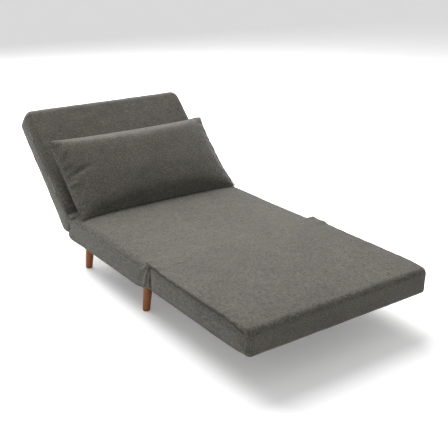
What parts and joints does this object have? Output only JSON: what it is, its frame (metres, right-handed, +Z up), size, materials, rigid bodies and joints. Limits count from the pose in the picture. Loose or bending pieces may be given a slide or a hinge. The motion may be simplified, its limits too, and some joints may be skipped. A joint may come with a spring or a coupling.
{
  "type": "futon sofa bed",
  "caption": "Convertible single futon sofa bed: fold-over front section, seat on wooden legs, ratchet backrest, loose pillow and a pull-out support.",
  "frame": {"origin": "on the floor under the middle of the whole object at rest", "axes": "+X across the width, to the right when looking from the foot end towards the backrest, +Y from the foot end towards the backrest, +Z up"},
  "size_m": [0.8, 1.6934, 0.5875],
  "materials": {
    "upholstery": "matte",
    "foam": "matte",
    "dust_cloth": "matte",
    "leg_wood": "satin",
    "plywood": "satin",
    "frame_pine": "matte",
    "felt": "matte",
    "foot_plastic": "matte",
    "zip_plastic": "matte",
    "black_steel": "satin",
    "zinc_steel": "satin",
    "fastener_steel": "satin"
  },
  "bodies": {
    "base": {"seat_cover": "upholstery", "seat_foam": "foam", "seat_hinge_rail": "plywood", "seat_side_rail_left": "frame_pine", "seat_side_rail_right": "frame_pine", "seat_rear_rail": "frame_pine", "seat_slats": "plywood", "leg_blocks": "frame_pine", "cross_battens": "frame_pine", "dust_cover": "dust_cloth", "leg_front_left": "leg_wood", "leg_front_right": "leg_wood", "leg_rear_left": "leg_wood", "leg_rear_right": "leg_wood", "leg_plates": "fastener_steel", "leg_bolts": "fastener_steel", "leg_nuts": "fastener_steel", "leg_glides": "felt", "hinge_leaf_seat": "zinc_steel", "hinge_pin": "fastener_steel", "hinge_screws_seat": "fastener_steel", "ratchet_bracket_left": "zinc_steel", "ratchet_bracket_right": "zinc_steel", "ratchet_pawl_left": "zinc_steel", "ratchet_pawl_right": "zinc_steel", "pivot_bolts": "fastener_steel", "pawl_pins": "fastener_steel", "pawl_springs": "fastener_steel", "support_guide_left": "black_steel", "support_guide_right": "black_steel", "guide_screws": "fastener_steel"},
    "front_section": {"front_cover": "upholstery", "front_foam": "foam", "front_hinge_rail": "plywood", "front_side_rail_left": "frame_pine", "front_side_rail_right": "frame_pine", "front_end_rail": "frame_pine", "front_slats": "plywood", "hinge_leaf_front": "zinc_steel", "hinge_screws_front": "fastener_steel"},
    "back_section": {"back_cover": "upholstery", "back_foam": "foam", "back_side_rail_left": "frame_pine", "back_side_rail_right": "frame_pine", "back_lower_rail": "frame_pine", "back_top_rail": "frame_pine", "back_slats": "plywood", "ratchet_arm_left": "zinc_steel", "ratchet_arm_right": "zinc_steel", "arm_screws": "fastener_steel"},
    "pillow": {"pillow_cover": "upholstery", "pillow_filling": "foam", "pillow_zip": "zip_plastic"},
    "support_frame": {"support_slide_bar_left": "black_steel", "support_slide_bar_right": "black_steel", "support_cross_bar": "black_steel", "support_leg_left": "black_steel", "support_leg_right": "black_steel", "support_feet": "foot_plastic", "support_pads": "felt"}
  },
  "joints": [
    {"name": "front_fold", "type": "hinge", "parent": "base", "child": "front_section", "pos_m": [0, -0.2777, 0.235], "axis": [-1, 0, 0], "range_deg": [0, 180]},
    {"name": "back_recline", "type": "hinge", "parent": "base", "child": "back_section", "pos_m": [0, 0.4223, 0.185], "axis": [1, 0, 0], "range_deg": [-43.2, 31.8], "deforming": ["pillow_cover", "pillow_filling", "pillow_zip"]},
    {"name": "pillow_slide", "type": "slide", "parent": "back_section", "child": "pillow", "axis": [0, 0.729, 0.6845], "range_m": [-0.1029, 0.076]},
    {"name": "support_slide", "type": "slide", "parent": "base", "child": "support_frame", "axis": [0, 1, 0], "range_m": [0, 0.38]}
  ],
  "couplings": [
    {"joint": "pillow_slide", "follows": "back_recline", "m_per_rad": 0.13513}
  ]
}
